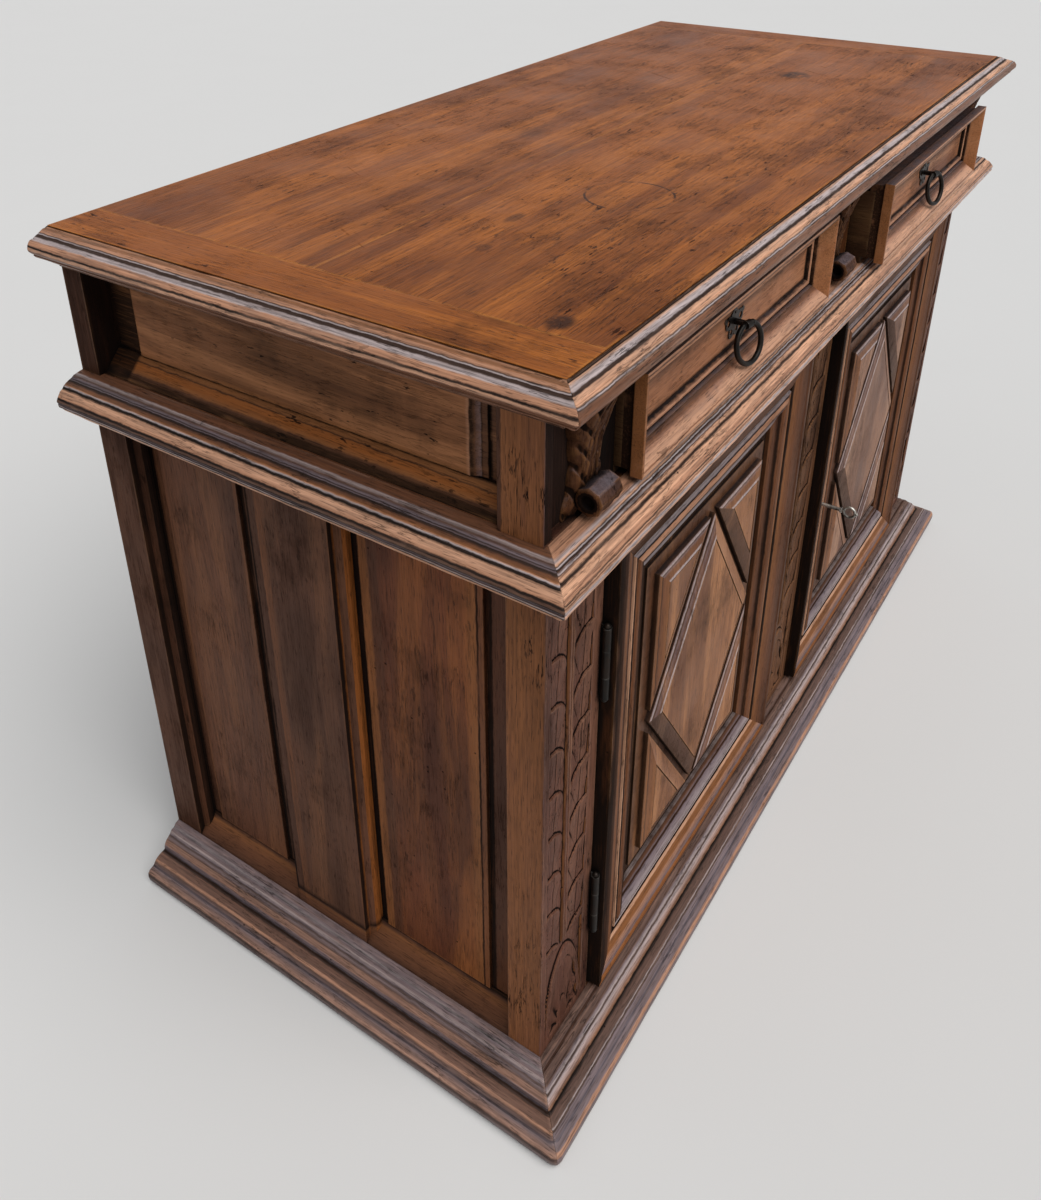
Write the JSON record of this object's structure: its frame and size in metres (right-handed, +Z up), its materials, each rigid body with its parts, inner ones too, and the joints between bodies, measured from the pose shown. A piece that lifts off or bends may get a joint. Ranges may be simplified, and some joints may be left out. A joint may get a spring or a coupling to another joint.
{
  "type": "credenza",
  "caption": "Low walnut cupboard with raised lozenge doors, frieze drawers with ring pulls, scrolled corbels, moulded cornice, waist and base.",
  "frame": {"origin": "middle of the footprint on the floor, counting the base moulding's front overhang", "axes": "+X to the viewer's right when facing the doors, +Y to the back, +Z up"},
  "size_m": [1.5712, 0.7006, 1],
  "materials": {
    "walnut_dark": "dark walnut, waxed and worn pale on its edges",
    "walnut_top": "amber walnut, waxed, stained and scratched by use",
    "walnut_mid": "mid-brown walnut, waxed and worn",
    "inner_wood": "bare secondary wood",
    "black_iron": "blackened wrought iron, dull",
    "key_steel": "worn steel"
  },
  "bodies": {
    "carcase": {"base_front": "walnut_dark", "base_left": "walnut_dark", "base_right": "walnut_dark", "front_left_post": "walnut_dark", "front_right_post": "walnut_dark", "back_left_post": "walnut_dark", "back_right_post": "walnut_dark", "centre_stile": "walnut_dark", "front_bottom_rail": "walnut_dark", "front_top_rail": "walnut_dark", "left_side_frame": "walnut_dark", "right_side_frame": "walnut_dark", "left_front_panel": "walnut_dark", "left_rear_panel": "walnut_dark", "right_front_panel": "walnut_dark", "right_rear_panel": "walnut_dark", "waist_front": "walnut_dark", "waist_left": "walnut_dark", "waist_right": "walnut_dark", "left_frieze_board": "walnut_dark", "right_frieze_board": "walnut_dark", "left_corbel": "walnut_dark", "centre_corbel": "walnut_dark", "right_corbel": "walnut_dark", "frieze_divider": "walnut_dark", "cornice_front": "walnut_dark", "cornice_left": "walnut_dark", "cornice_right": "walnut_dark", "top_front_board": "walnut_top", "top_rear_board": "walnut_top", "left_cleat": "walnut_top", "right_cleat": "walnut_top", "dust_board": "inner_wood", "left_guide": "inner_wood", "centre_guide": "inner_wood", "right_guide": "inner_wood", "bottom_board": "inner_wood", "lower_back_board": "inner_wood", "upper_back_board": "inner_wood", "left_post_hinges": "black_iron", "right_post_hinges": "black_iron"},
    "left_drawer": {"left_drawer_front": "walnut_mid", "left_drawer_box": "inner_wood", "left_drawer_bottom": "inner_wood", "left_pull_plate": "black_iron"},
    "right_drawer": {"right_drawer_front": "walnut_mid", "right_drawer_box": "inner_wood", "right_drawer_bottom": "inner_wood", "right_pull_plate": "black_iron"},
    "left_ring": {"left_ring": "black_iron"},
    "right_ring": {"right_ring": "black_iron"},
    "left_door": {"left_door_frame": "walnut_mid", "left_door_panel": "walnut_mid", "left_door_hinges": "black_iron"},
    "right_door": {"right_door_frame": "walnut_mid", "right_door_panel": "walnut_mid", "right_door_hinges": "black_iron", "lock_case": "black_iron"},
    "key": {"key": "key_steel"},
    "lock_bolt": {"lock_bolt": "key_steel"}
  },
  "joints": [
    {"name": "left_drawer_slide", "type": "slide", "parent": "carcase", "child": "left_drawer", "axis": [0, -1, 0], "range_m": [0, 0.4]},
    {"name": "right_drawer_slide", "type": "slide", "parent": "carcase", "child": "right_drawer", "axis": [0, -1, 0], "range_m": [-0.022, 0.378]},
    {"name": "left_door_hinge", "type": "hinge", "parent": "carcase", "child": "left_door", "pos_m": [-0.6095, -0.2892, 0.42], "axis": [0, 0, -1], "range_deg": [0, 105]},
    {"name": "right_door_hinge", "type": "hinge", "parent": "carcase", "child": "right_door", "pos_m": [0.6095, -0.2892, 0.42], "axis": [0, 0, 1], "range_deg": [0, 105]},
    {"name": "left_ring_swing", "type": "hinge", "parent": "left_drawer", "child": "left_ring", "pos_m": [-0.3275, -0.2987, 0.89], "axis": [-0.9816, 0.1908, 0], "range_deg": [0, 95]},
    {"name": "right_ring_swing", "type": "hinge", "parent": "right_drawer", "child": "right_ring", "pos_m": [0.344, -0.3207, 0.89], "axis": [-0.9816, 0.1908, 0], "range_deg": [0, 95]},
    {"name": "key_turn", "type": "hinge", "parent": "right_door", "child": "key", "pos_m": [0.11, -0.2827, 0.402], "axis": [0, -1, 0], "range_deg": [0, 90]},
    {"name": "bolt_slide", "type": "slide", "parent": "right_door", "child": "lock_bolt", "axis": [-1, 0, 0], "range_m": [0, 0.014]}
  ],
  "couplings": [
    {"joint": "key_turn", "follows": "bolt_slide", "rad_per_m": 112.19}
  ]
}
